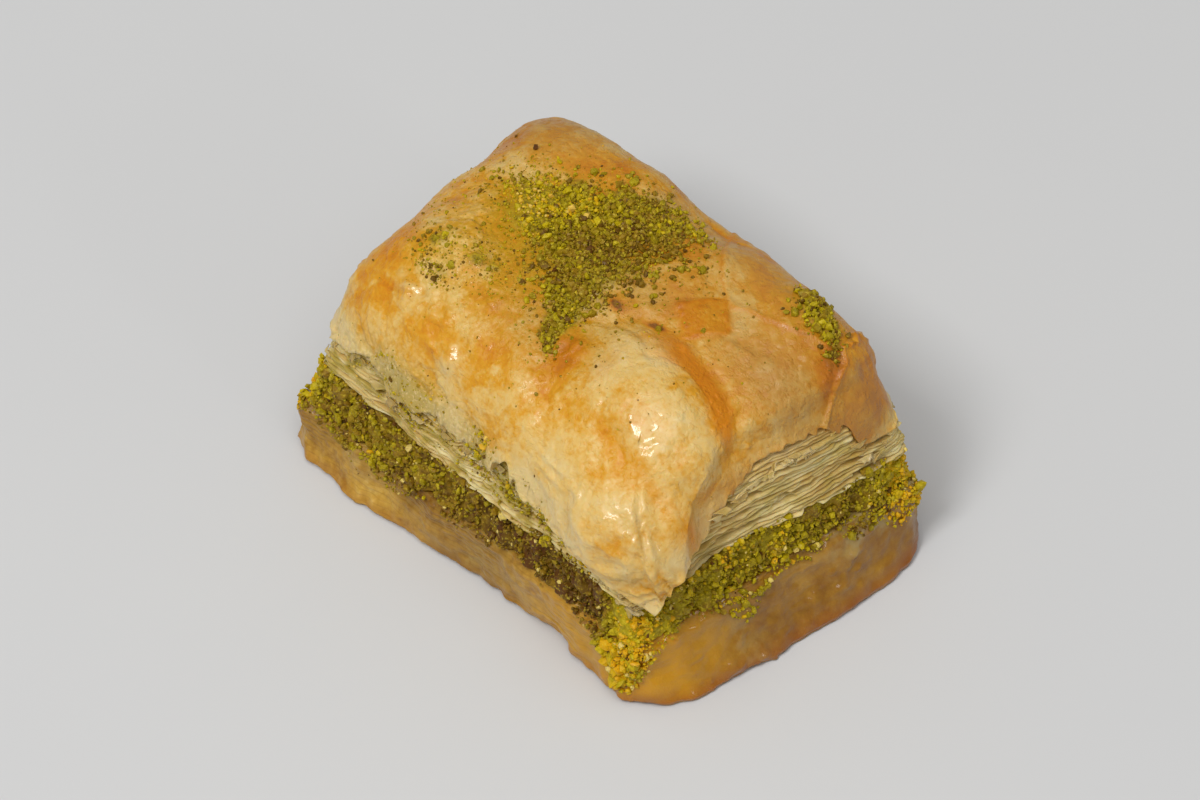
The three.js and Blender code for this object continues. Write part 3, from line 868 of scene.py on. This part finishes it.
def crust_relief(points, f, g):
    """How far the glazed skin stands off the plain dome: the low pillow of the great blister, pinched
    along its upper rim, creases, folds down the front lobe, torn layers, and crumpled skin."""
    depth = depth_inside(f, g, BLISTER)
    upper = smooth(g - 0.35 * (f - 14), -9, -2)
    pillow = mix(0.5 * smooth(depth, -0.8, 2.4), 0.85 * smooth(depth, -0.3, 3.6), upper)
    pillow = pillow - 0.22 * bell(depth + 0.7, 0.9) * upper
    creases = 0.12 * bell(to_line(f, g, BLISTER_CREASE), 1.0) + 0.18 * bell(to_line(f, g, UPPER_CREASE), 0.5)
    lobe = smooth(f, 1.2, 5.5) * smooth(-g, 13.5, 18.5)
    to_fold = to_line(f, g, CORNER_FOLD)
    folds = 0.4 * lobe + overlaid(f, g, FOLDED) + 0.7 * bell(to_fold, 2.4) + 0.3 * np.exp(-to_fold / 0.5)
    folds = folds + 0.3 * bell(to_line(f, g, LOBE_FOLD), 1.3)
    jagged = 0.15 * noise(on_sheet(f, g), 1.1, 168)
    sheets = 0
    for line, thickness, curl in SHEETS:
        inside = depth_inside(f, g, line) + jagged
        sheets = sheets + thickness * smooth(inside, -0.06, 0.12) + curl * bell(inside - 0.2, 0.3)
    crackly = 0.4 + overlaid(f, g, CRACKLED) + 0.35 * lobe + 0.4 * smooth(past_middle(f, g), 0.95, 1.05)
    drawn = smooth(-g, 16.0, 19.0) * (0.15 + 0.85 * smooth(f, 6, 12))
    caked = mossy(f, g) * (0.18 + 0.14 * noise(points, 0.9, 188))
    return (pillow - creases + folds + sheets + 0.25 * rough(points, 6.0, 61, 2) + caked + bubbles(f, g)
            + 0.2 * crackly * crumple(f, g) + 0.13 * drawn * wrinkles(f, g) + 0.07 * flakes(f, g)
            + 0.16 * torn_steps(f, g) + noises(points, (0.05, 0.7, 64), (0.02, 0.4, 65)))


def hanging_out(f, g):
    """The front right corner's skin hangs clear of the leaves: a level shift that grows downwards and
    fades to both sides of the corner."""
    off_corner = f / SPAN_F + g / SPAN_G
    share = smooth((f / SPAN_F - g / SPAN_G) / 2, 0.8, 1.2)
    share = share * bell(off_corner, np.where(off_corner > 0, 0.2, 0.36))
    return share[..., None] * np.array([2.1, 0.7, -0.3])


def eased(grid, share, passes):
    """A grid of points with its sharp corners eased: pass after pass, each point moves by its share
    towards the middle of its four neighbours."""
    for _ in range(passes):
        wide = np.pad(grid, ((1, 1), (1, 1), (0, 0)), mode="reflect", reflect_type="odd")
        middle = (wide[:-2, 1:-1] + wide[2:, 1:-1] + wide[1:-1, :-2] + wide[1:-1, 2:]) / 4
        grid = grid + share[..., None] * (middle - grid)
    return grid


def around_at(u, v):
    """How far round the piece the direction (u, v) from its middle lies, in millimetres."""
    along, across = (u + 1) / 2 * LENGTH, (v + 1) / 2 * WIDTH
    ends = np.where(u > 0, CORNERS[1] + across, CORNERS[4] - across)
    return np.where(np.abs(u) >= np.abs(v), ends, np.where(v > 0, CORNERS[3] - along, along))


def grid_edge(wide, high):
    """Both indices of the places round a grid's edge: out along the first, then the second, and back."""
    along, up = np.arange(wide - 1), np.arange(high - 1)
    return (np.concatenate([along, wide - 1 + 0 * up, wide - 1 - along, 0 * up]),
            np.concatenate([0 * along, up, high - 1 + 0 * along, high - 1 - up]))


def grid_quads(rows, columns):
    """The faces of a grid of points."""
    corner = (np.arange(rows - 1)[:, None] * columns + np.arange(columns - 1)).ravel()
    return np.stack([corner, corner + columns, corner + columns + 1, corner + 1], axis=-1)


a, b = np.meshgrid(np.linspace(-1, 1, GRID_F), np.linspace(-1, 1, GRID_G), indexing="ij")
ring = np.maximum(np.maximum(np.abs(a), np.abs(b)), 1e-9)
edge_table = spread(SKIN_EDGE, EDGE_STEPS)
step_at = np.arange(EDGE_STEPS + 1) / EDGE_STEPS * SIDE_LENGTH
distance = around_at(a / ring, b / ring) % SIDE_LENGTH
reach = np.interp(distance, step_at, np.append(edge_table, edge_table[0]))
ragged_place = on_sheet(distance, 0)
reach = reach + noises(ragged_place, (0.03, 2.3, 50), (0.014, 0.7, 51))
f, g = a * SPAN_F * reach, b * SPAN_G * reach
off_corner = (np.abs(f) / SPAN_F - np.abs(g) / SPAN_G) / np.maximum(past_middle(f, g), 1e-9)
skin = eased(crust(f, g), 0.9 * bell(off_corner, 0.2) * smooth(ring, 0.55, 0.75), EASING_PASSES)
normal = unit(np.cross(np.gradient(skin, axis=0), np.gradient(skin, axis=1)))
flare = smooth(ring, 0.965, 1.0) * (0.1 + noises(ragged_place, (0.15, 3.0, 52), (0.12, 0.9, 53)))
skin = skin + normal * (crust_relief(skin, f, g) + SKIN_OVER + flare)[..., None] + hanging_out(f, g)

# Under the grid's edge a skirt runs down: a lip, the hollow behind the leaves and the floor on the nuts.
edge = grid_edge(GRID_F, GRID_G)
rim_points, rim_u, rim_v, edge_m = skin[edge], (a / ring)[edge], (b / ring)[edge], reach[edge]
columns = len(edge_m)
x, y = outline(rim_u, rim_v, corner=4.5, **TOP)
level = outwards(on_sheet(x, y))
floor_m = 1 + 2 * WALL / (SPAN_F + SPAN_G)


def at_edge(m):
    """The block's skin under the grid's edge, so far out from the middle."""
    return crust(rim_u * SPAN_F * m, rim_v * SPAN_G * m)


ground = np.stack([x, y, seam_z(x, y, FILLING_TOP) + 0.15], axis=-1) - level * 2.2
down = [at_edge(mix(edge_m, floor_m, share)) - level * 1.6 for share in (1.0, 0.75, 0.5, 0.25)]
behind = at_edge(edge_m) - level * 1.4 + (0, 0, 0.3)
skirt = np.stack([ground, *down, behind, rim_points - normal[edge] * LIP])
first = skin[..., 0].size
points = np.concatenate([skin.reshape(-1, 3), skirt.reshape(-1, 3), [ground.mean(axis=0)]])
edge_index = edge[0] * GRID_G + edge[1]
lowest = first + np.arange(columns)
last_ring = lowest + (len(skirt) - 1) * columns
join = np.stack([last_ring, np.roll(last_ring, -1), np.roll(edge_index, -1), edge_index], axis=-1)
floor_fan = np.stack([np.full(columns, len(points) - 1), np.roll(lowest, -1), lowest], axis=-1)
skin_quads = np.concatenate([grid_quads(GRID_F, GRID_G), ring_quads(len(skirt), columns, first), join])

glazed = Finish("glazed golden crust", Roughness=0.3, Subsurface_Weight=0.25, Subsurface_Scale=0.0009,
                Subsurface_Radius=(1.0, 0.6, 0.2), IOR=1.45, Specular_IOR_Level=0.38, Coat_Roughness=0.1)
baked, rosy, amber_share, thick = glazed.painted("baked", "rosy", "amber", "thick")
caked, stain, syrup = glazed.painted("caked", "stain", "syrup")
cloud, mottle = glazed.grain(4.0, detail=5.0, roughness=0.6), glazed.grain(1.1, detail=4.0, roughness=0.6)
fleck = glazed.grain(0.4, detail=2.0)
heat = baked + (cloud - 0.5) * 0.4 + (mottle - 0.5) * 0.5 + (fleck - 0.5) * 0.3
crust_tone = glazed.ramp(heat, (0.0, 226, 198, 134), (0.25, 224, 184, 102), (0.45, 216, 154, 30),
                         (0.65, 208, 132, 4), (0.85, 180, 102, 0), (1.0, 116, 58, 0))
moss = glazed.ramp(fleck, (0.3, 104, 84, 0), (0.5, 150, 128, 6), (0.68, 190, 164, 20))
stained = stain * glazed.between(fleck + stain * 0.25, 0.42, 0.62)
crust_tone = glazed.coats(crust_tone, ((202, 155, 88), rosy * (0.5 + mottle * 0.5)),
                          ((214, 129, 0), amber_share * (0.75 + cloud * 0.25)),
                          # painted shade, darker towards the back and the right end
                          ((222, 212, 186), thick * (0.7 + mottle * 0.4), "MULTIPLY"),
                          ((170, 142, 0), stained), (moss, caked))
fine_creases = glazed.node("ShaderNodeMath", {"operation": "ABSOLUTE"}, {0: glazed.grain(0.8) - 0.5})
glazed.shade(Base_Color=crust_tone, Roughness=0.32 + mottle * 0.2 + caked * 0.25,
             Coat_Weight=syrup * glazed.between(cloud, 0.3, 0.5, 0.4, 1.0),
             Normal=glazed.bumps(fine_creases * 2 + fleck * 0.6, 0.12))
golden_crust = make_piece("golden_crust_skin", points, skin_quads, floor_fan, glazed, "golden_crust",
                          "top_pastry")

# Where the oven browned it, with a strength below nothing where it stayed pale; then where it is rosy,
# stained by the nuts, darkened by painted shade where the light falls off, and wet with syrup.
BROWNED = [
    (-20, -14, 4, 3.5, 0.2), (-10, -16.5, 3.8, 2.2, 10, 0.2), (-6.8, -19.5, 2.6, 2.0, -0.28),
    (-5, -16, 2, 1.6, -0.12), (-22, -5, 2.5, 5, 0.1), (14, -10.8, 4.5, 2.4, -0.1),
    (20, 11.4, 1.9, 1.9, 0.4), (22.6, 10.4, 2.2, 1.0, -40, 0.3), (3.4, -8.8, 1.4, 2.0, 20, 0.42),
    (-10, 13, 2.2, 1.2, 0.2), (-5, 17, 6, 2, 0.12), (6, 17, 6, 2, 0.1), (-18, 12, 6, 5, -0.08),
    (-17, 5.6, 6, 3.0, 20, -0.32), (2.2, -0.6, 0.9, 0.6, 0.9), (6.4, 0.3, 1.0, 0.4, 20, 1.0),
    (5.2, 1.6, 2.2, 1.2, 40, 0.15), (16, -7, 9, 4.5, -14, -0.32), (8, -5, 4, 3, -0.12),
    (15, -19.5, 12, 3.0, -0.24), (24, -18, 5, 4, -0.2), (-16, -24.5, 14, 3.6, -0.3),
    (-2, -23, 8, 2.6, -0.24), (27.6, -14.2, 0.9, 1.8, 35, 0.3), (13, -15.2, 4, 1.6, -0.16),
    (-2, -13, 4, 3, 0.1), (-12, -12.6, 3, 1.4, -0.12), (26, -22, 6, 4, 0.18), (24, -11, 3, 3, -0.14),
    (12, -18.6, 4.2, 2.4, -0.26), (2.4, 7.6, 4, 2.4, 0.12), (27, -8.5, 2, 3, 0.14),
    (-16.8, -9.8, 3, 2.4, 0.14), (-8, -14, 3.5, 2.5, 0.05), (30, -19.5, 3.5, 3, 0.16), (27, 15, 3, 4, 0.16),
    (16, -17.5, 7, 2.5, 0.04)]
ROSY = [
    (17, 5, 9, 3.8, 0.75), (26, 15, 4.5, 6, 0.75), (26.5, -4, 2.2, 7, 0.7), (4, 2, 3, 4, 0.4),
    (-17, 13, 6, 5, 0.5), (8, 14, 7, 4, 0.5)]
STAINED = [
    (-7, -2, 10, 8, 0.5), (-11, 2.6, 4.5, 3.4, 0.5), (-14, -9, 4, 3, 0.25), (-13, -22.5, 9, 2.2, 0.7),
    (0, -22.6, 3, 1.6, 0.6), (9, -23.5, 6, 1.4, -5, 0.5), (16, -25.5, 6, 1.6, -5, 0.35),
    (15, 14, 4, 4, 0.4)]
# Painted shade: the crust's colour is dulled and darkened towards the back and the right end, where the light
# falls off.
PAINTED_SHADE = [
    (29, -21, 4, 4, 0.4), (-1, 2, 12, 7, 0.7), (20, 6, 9, 7, 0.9), (27, 14, 5, 7, 1.1),
    (-20, 13, 7, 6, 1.0), (2, 13, 14, 6, 0.8), (0, -8, 7, 5, 0.8), (26.5, -6, 3, 7, 0.4)]
SYRUPY = [
    (16, -10.5, 5.0, 2.6, 0.9), (18, -14.4, 8, 1.3, -2, -0.9), (2.5, -9, 2.5, 2.5, -0.4),
    (24.5, -18.6, 5, 2.6, 20, 0.9), (-14, -13.8, 2.5, 1.8, 0.9), (-6.6, -16.8, 2, 1.6, 0.8),
    (18, 8.5, 2.5, 2, 0.5)]


def over_skirt(values):
    """Spreads values of the crust's grid over its skirt and its floor's middle point."""
    return np.concatenate([values.ravel(), np.tile(values[edge], len(skirt)), [values[edge].mean()]])


blister_depth = depth_inside(f, g, BLISTER)
upper_rim = smooth(g - 0.3 * (f - 14), -8.2, -4.8) * smooth(f, 5, 10)
band = smooth(blister_depth, -1.0, 0.6) * smooth(-blister_depth + 1.2 * smooth(f, 11, 19), -3.2, -0.8)
band = band * upper_rim
in_crease = bell(to_line(f, g, BLISTER_CREASE), 0.9) * (0.8 + 0.4 * noise(skin, 2.0, 173))
on_scrap = smooth(depth_inside(f, g, SCRAP) + 0.4 * noise(skin, 1.5, 172), -0.1, 0.3)
# Along the corner fold, on the side of the cut end, the crust is browner and amber: partly real browning of
# the fold, partly painted shade on the facet turned away from the key lamp.
in_fold_and_shade = bell(to_line(f - 1.7, g - 1.5, CORNER_FOLD), 1.0) * smooth(f, 26, 29)
paling = 0.36 * smooth(past_middle(f, g) + 0.04 * noise(skin, 3.0, 66), 0.93, 1.02)
layered = 0.09 * smooth(noise(skin, 2.2, 171), 0.1, 0.2)
rims = sum(bell(depth_inside(f, g, line), 0.3) for line, _, _ in SHEETS[:2])
baked_there = 0.52 + overlaid(f, g, BROWNED) + layered - paling - 0.12 * crumple(f, g) - 0.07 * flakes(f, g)
baked_there = baked_there + 0.1 * band + 0.06 * in_crease + 0.2 * in_fold_and_shade + 0.1 * rims + 0.22 * on_scrap
amber_there = 1.05 * band + 0.25 * in_crease * smooth(f, 9, 13) + 0.25 * on_scrap + 0.2 * in_fold_and_shade + 0.3 * rims
amber_there = amber_there + overlaid(f, g, [(27.4, -14.0, 1.1, 1.6, 0.7), (3, -8.6, 1.4, 1.8, 0.6),
                                            (20.4, 11.2, 2.4, 1.8, 0.5), (10.6, -2.4, 2.4, 1.4, 0.6)])
paint(golden_crust, over_skirt, baked=baked_there, amber=amber_there.clip(0, 1), caked=mossy(f, g),
      rosy=(overlaid(f, g, ROSY) - 0.6 * on_scrap).clip(0, 1), thick=overlaid(f, g, PAINTED_SHADE).clip(0, 1),
      syrup=(0.12 + overlaid(f, g, SYRUPY)).clip(0, 1), stain=overlaid(f, g, STAINED).clip(0, 0.85))


# -------------------------------------------------------------------------------- Frayed leaf scraps
# Where the knife and the fork broke the top leaves, shreds of them hang from the crust's edge over the
# leaves below: brittle, cream-coloured, curled outwards at their torn ends.

SCRAPS = 170
SCRAP_ROWS, SCRAP_COLUMNS = 6, 8
SCRAP_THICKNESS = 0.1

EACH = (SCRAPS, 1, 1)  # one number for each scrap, to spread over its grid

random = np.random.default_rng(91)
scrap_around = random.uniform(0, SIDE_LENGTH, EACH)
order = np.argsort(distance[edge])
hung_from = np.interp(scrap_around, distance[edge][order], rim_points[order, 2])
hung_from = hung_from + random.uniform(-1.8, 0.6, EACH)
wide, long = random.uniform(0.5, 2.6, EACH), random.uniform(0.3, 1.1, EACH)
lean, curl = random.normal(0, 0.5, EACH), random.uniform(0.0, 0.5, EACH)
down_share = np.linspace(0, 1, SCRAP_ROWS)[:, None]
across_share = np.linspace(-0.5, 0.5, SCRAP_COLUMNS)
torn = random.uniform(0.3, 1.0, (SCRAPS, 1, SCRAP_COLUMNS)) * (1 - (2 * across_share) ** 2 * 0.6)
scrap_a = scrap_around + wide * across_share * (1 - 0.35 * down_share) + lean * down_share
scrap_z = hung_from - long * torn * down_share
here, out = at_side(scrap_a, scrap_z.clip(9.0, 22.0))
outer = here + out * (0.3 + curl * (down_share**2 + 0.25 * np.abs(across_share)))[..., None]
outer[..., 2] = scrap_z
points = np.stack([outer, outer - out * SCRAP_THICKNESS], axis=1).reshape(-1, 3)
cells = SCRAP_ROWS * SCRAP_COLUMNS
front = grid_quads(SCRAP_ROWS, SCRAP_COLUMNS)
column, row = grid_edge(SCRAP_COLUMNS, SCRAP_ROWS)
border = row * SCRAP_COLUMNS + column
following = np.roll(border, -1)
sides = np.stack([border, following, following + cells, border + cells], axis=-1)
faces = repeated(np.concatenate([front, front[:, ::-1] + cells, sides]), 2 * cells, SCRAPS)
scraps = make_piece("frayed_leaf_scraps", points, faces, (), leaves, "golden_crust")
green = np.repeat(random.uniform(0.2, 1.0, SCRAPS), 2 * cells)
# The scraps take part of the leaves' painted gap shade.
paint(scraps, high=0.5, tip=0.4, green=green, own=np.repeat(random.uniform(-0.4, 0.6, SCRAPS), 2 * cells))


# -------------------------------------------------------------------------------- Strewn pistachio
# Finely ground pistachio, pinched over the middle of the piece after baking. It lies in a dense patch
# that thins out towards the edges, and clings where the syrup is wet.


def over_crust(f, g):
    """The glazed skin's surface at flat places, and the direction out of it."""
    step = 0.15
    out = unit(np.cross(crust(f + step, g) - crust(f - step, g), crust(f, g + step) - crust(f, g - step)))
    here, m = crust(f, g), past_middle(f, g)
    around = around_at(f / SPAN_F / m, g / SPAN_G / m)
    on_skin = smooth(np.interp(around, step_at[:-1], edge_table) - m, -0.02, 0.01)
    lifted = mix(0.1, crust_relief(here, f, g), on_skin) + SKIN_OVER
    return here + out * lifted[..., None] + hanging_out(f, g) * on_skin[..., None], out


# Where it fell: place over the crust, half sizes, turn, how many crumbs, how large, how high the heap.
HANDFULS = [
    (-5.6, 4.0, 4.6, 5.2, 0, 2300, 0.4, 0.4), (-0.8, 5.2, 3.4, 4.8, 0, 900, 0.4, 0.3),
    (-2.0, -2.0, 2.6, 3.8, 20, 1000, 0.4, 0.3), (-1.5, 10.2, 5.0, 2.8, -14, 620, 0.36, 0.2),
    (0.2, -7.4, 1.1, 2.6, 20, 300, 0.38, 0.12), (-12, 4, 4.2, 3.4, 0, 650, 0.28, 0.08),
    (-7, 0, 12, 9, 0, 1100, 0.2, 0), (-15, -9, 2.6, 2.0, 30, 150, 0.28, 0.05),
    (-9, -6.6, 5, 2.4, 10, 300, 0.22, 0), (15.0, 13.8, 2.0, 1.8, -30, 480, 0.45, 0.6),
    (17.8, 13.2, 2.0, 1.1, -30, 170, 0.4, 0.3), (0, 0, 16, 13, 0, 260, 0.18, 0),
    (-13, -22.5, 8, 1.8, 0, 320, 0.2, 0), (0.4, -22.4, 2.2, 1.3, 0, 170, 0.32, 0.1),
    (6.5, -23.6, 4.0, 1.4, -8, 170, 0.27, 0), (12.5, -24.2, 3.4, 1.6, -6, 150, 0.3, 0),
    (14.5, -27.4, 0.8, 0.6, 0, 30, 0.7, 0.1), (21, -26.4, 4.0, 1.4, 0, 90, 0.28, 0),
    (-12.5, -10.4, 1.8, 1.3, 0, 90, 0.28, 0.06), (-13, -24.8, 9, 1.2, 0, 260, 0.2, 0),
    (4, -25.2, 7, 1.2, 0, 160, 0.23, 0), (6.8, -13.8, 0.1, 0.1, 0, 1, 0.8, 0),
    (1.9, -5.1, 0.1, 0.1, 0, 1, 0.7, 0), (-17, 9, 0.1, 0.1, 0, 1, 0.6, 0)]

random = np.random.default_rng(71)
strewn_parts = []
for centre_f, centre_g, half_f, half_g, degrees, count, size, heap in HANDFULS:
    a, b = random.normal(0, 0.6, (2, count))
    off_f, off_g = turned(a * half_f, b * half_g, 0, 0, -degrees)
    crumb_sizes = random.gamma(2.6, size / 2.6, count).clip(0.12, 1.25)
    lifts = heap * random.random(count) * np.exp(-a * a - b * b)
    strewn_parts.append([centre_f + off_f, centre_g + off_g, crumb_sizes, lifts, np.full(count, count == 1)])
f, g, sizes, lifts, alone = np.concatenate(strewn_parts, axis=1)
here, out = over_crust(f.clip(-27, 27), g.clip(-28, 20.5))
centres = here + out * (lifts + 0.1 * sizes)[:, None]
strewn = make_piece("strewn_pistachio", *crumbs(centres, sizes, random), nuts, "ground_pistachio",
                    flat_faces=True)
tints = 0.5 + 0.13 * random.normal(size=len(f)) + 0.16 * noise(centres, 2.4, 73) + 0.14 * smooth(-g, 18, 21)
tints = tints + overlaid(f, g, [(-1.5, 3.0, 7, 9, -0.09), (-11.5, 2.5, 4, 4, 0.28)])
tints = np.where(random.random(len(f)) < 0.07, 0.14, tints).clip(0.02, 0.95)
tints[alone == 1] = 0.0  # a few scorched crumbs lie alone
paint(strewn, tint=np.repeat(tints, 12))


# -------------------------------------------------------------------------------- Table, lights, camera
# A plain pale table, a soft lamp high on the viewer's left, a small low one on the right for glints, a
# broad ceiling of light and a faint fill.

bpy.ops.mesh.primitive_plane_add(size=6.0, location=(0, 0, -0.0002))
table = bpy.context.object
table.name = "table"
paper = Finish("pale table", Roughness=0.6)
paper.shade(Base_Color=paper.coats((206, 206, 206), ((210, 210, 209), paper.grain(60.0))))
table.data.materials.append(paper.material)

AIM = Vector((0.0, 0.0, 0.013))


def aimed(data, offset):
    """Puts a lamp or a camera at an offset from the point it looks at."""
    thing = bpy.data.objects.new(data.name, data)
    thing.location, thing.rotation_euler = AIM + offset, offset.to_track_quat("Z", "Y").to_euler()
    bpy.context.collection.objects.link(thing)
    return thing


# Square area lamps: direction from the piece, distance, size and watts.
LAMPS = {"key": ((0.05, -0.55, 0.83), 1.1, 0.3, 4.6), "side glint": ((0.87, 0.0, 0.47), 1.1, 0.12, 0.35),
         "ceiling": ((0.15, -0.25, 1.0), 1.3, 1.3, 9.6)}
for name, (direction, distance, size, watts) in LAMPS.items():
    light = bpy.data.lights.new(name, "AREA")
    light.size, light.energy = size, watts
    aimed(light, Vector(direction).normalized() * distance)
world = bpy.data.worlds.new("room")
world.use_nodes = True
world.node_tree.nodes["Background"].inputs["Color"].default_value = (1.0, 1.0, 1.0, 1.0)
world.node_tree.nodes["Background"].inputs["Strength"].default_value = 0.26
bpy.context.scene.world = world
bpy.context.scene.view_settings.view_transform = "Standard"

CAMERA_AZIMUTH, CAMERA_ELEVATION, CAMERA_DISTANCE = math.radians(46.0), math.radians(49.5), 0.92
eye = bpy.data.cameras.new("camera")
eye.lens, eye.sensor_width, eye.clip_start = 282.0, 36.0, 0.01
level_distance = CAMERA_DISTANCE * math.cos(CAMERA_ELEVATION)
offset = Vector((level_distance * math.sin(CAMERA_AZIMUTH), -level_distance * math.cos(CAMERA_AZIMUTH),
                 CAMERA_DISTANCE * math.sin(CAMERA_ELEVATION)))
bpy.context.scene.camera = aimed(eye, offset)
